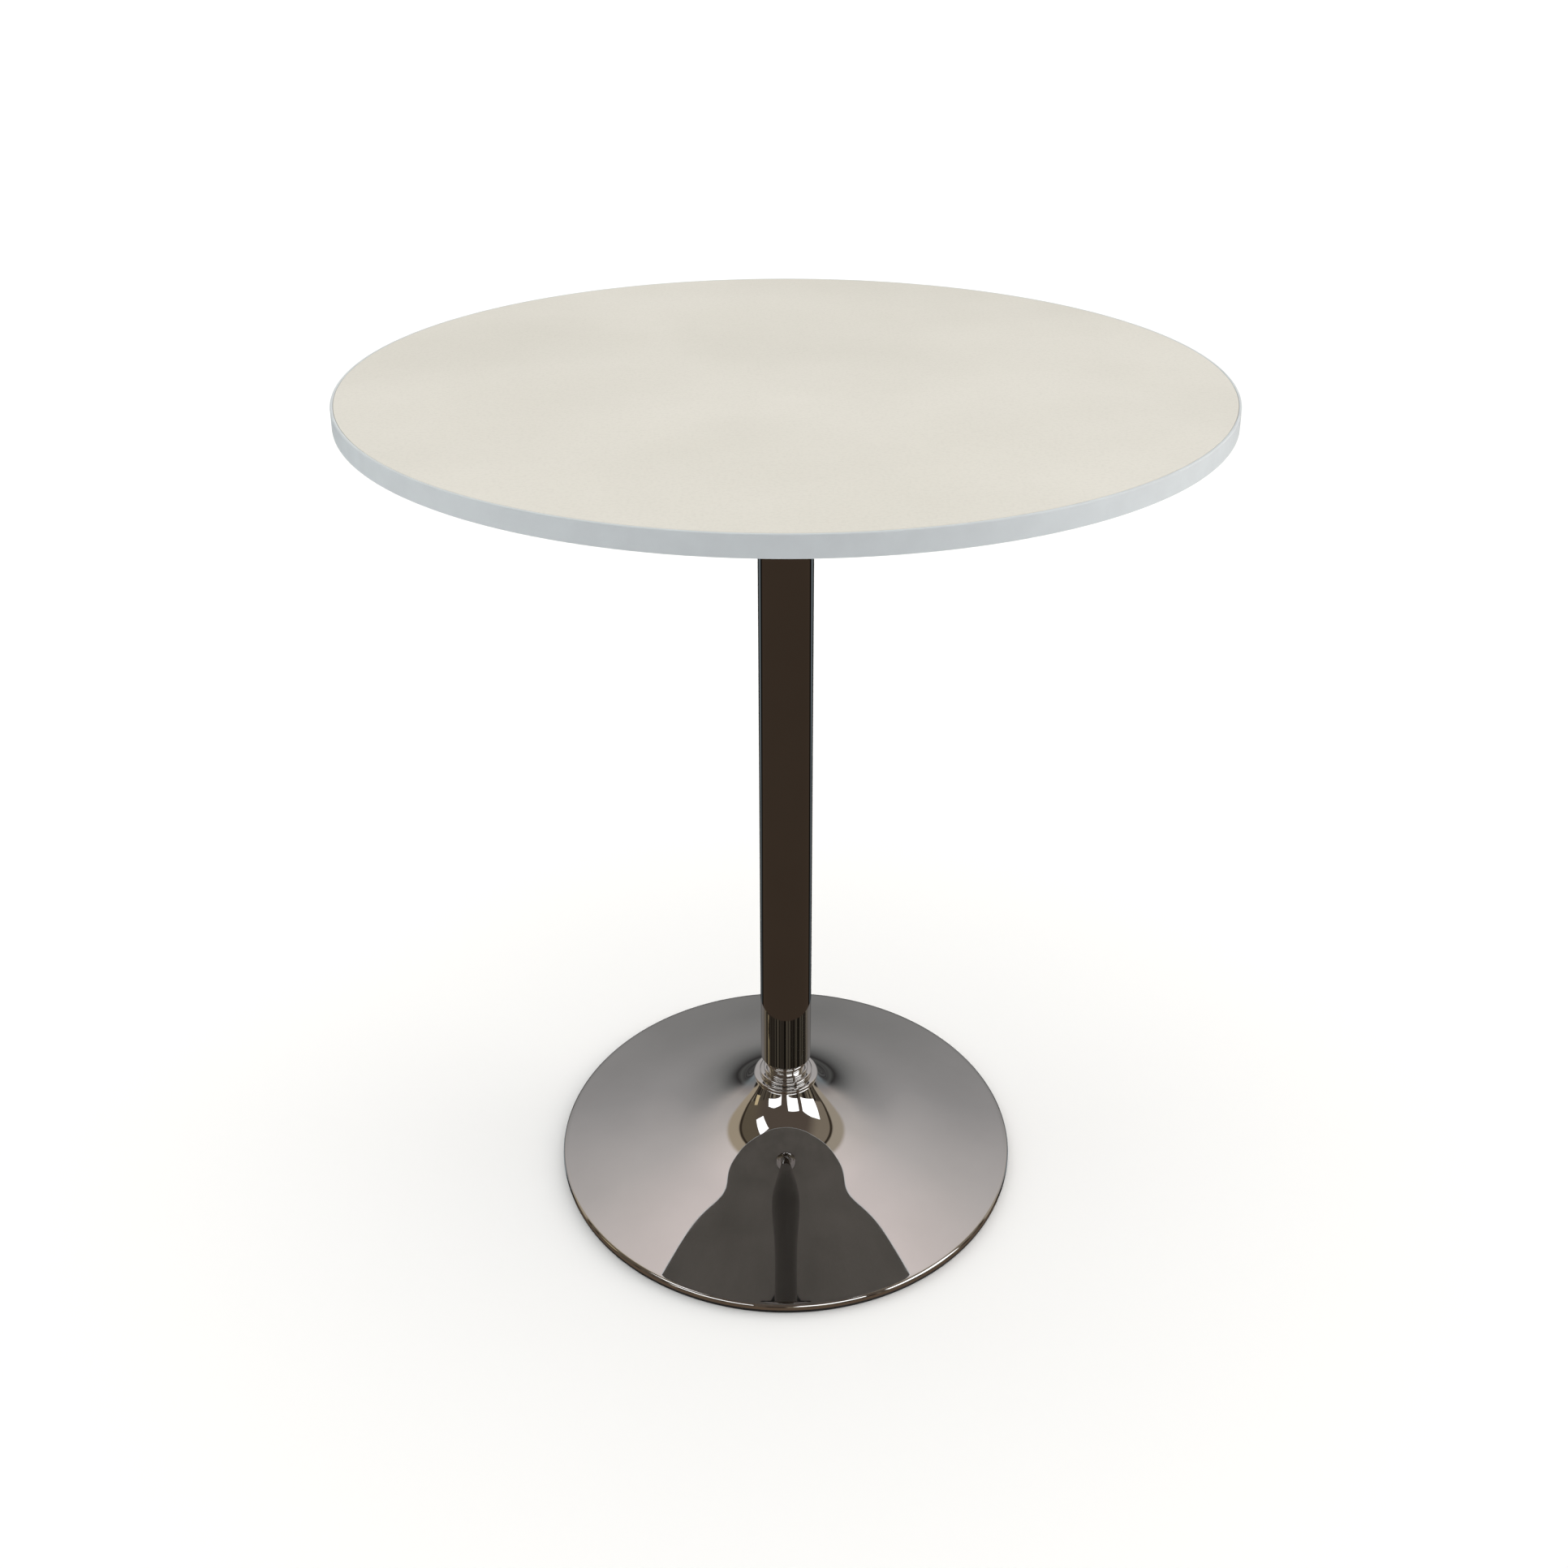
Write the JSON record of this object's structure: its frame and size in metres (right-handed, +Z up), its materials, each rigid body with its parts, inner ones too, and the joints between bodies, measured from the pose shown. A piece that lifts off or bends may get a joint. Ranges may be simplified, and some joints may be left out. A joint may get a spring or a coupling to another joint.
{
  "type": "bistro table",
  "caption": "Round pedestal bistro table: thin laminated disc top on a slim chromed tube, beaded neck collar and flared trumpet base with a black floor ring.",
  "frame": {"origin": "on the floor under the middle of the table, at the foot of the column's axis", "axes": "+Z up along the column's axis; the table is round, so X and Y are level and equal, and the first flange screw lies on +X"},
  "size_m": [0.7, 0.7, 0.76],
  "materials": {
    "laminate": "ivory high-pressure laminate, satin with a fine texture",
    "particle_board": "raw pressed particle board",
    "backing": "dark brown phenolic backing sheet",
    "edge_band": "cool white edge band, satin",
    "chrome": "polished chrome plate",
    "zinc_steel": "zinc-plated steel",
    "screw_steel": "nickel-plated screw steel",
    "cast_iron": "rough cast iron, primed black",
    "cover": "black moulded cover plate",
    "rubber": "black rubber"
  },
  "bodies": {
    "root": {"top_laminate": "laminate", "top_core": "particle_board", "top_backing": "backing", "edge_band": "edge_band", "top_flange": "chrome", "flange_screw_1": "screw_steel", "flange_screw_2": "screw_steel", "flange_screw_3": "screw_steel", "flange_screw_4": "screw_steel", "flange_screw_5": "screw_steel", "flange_screw_6": "screw_steel", "column_tube": "chrome", "tie_rod": "zinc_steel", "rod_top_washer": "zinc_steel", "rod_top_nut": "zinc_steel", "neck_collar": "chrome", "trim_ring": "chrome", "base_shell": "chrome", "base_spacer": "zinc_steel", "base_weight": "cast_iron", "rod_bottom_washer": "zinc_steel", "rod_spring_washer": "zinc_steel", "rod_bottom_nut": "zinc_steel", "bottom_cover": "cover", "cover_screw_1": "screw_steel", "cover_screw_2": "screw_steel", "cover_screw_3": "screw_steel", "cover_screw_4": "screw_steel", "floor_ring": "rubber"}
  },
  "joints": []
}
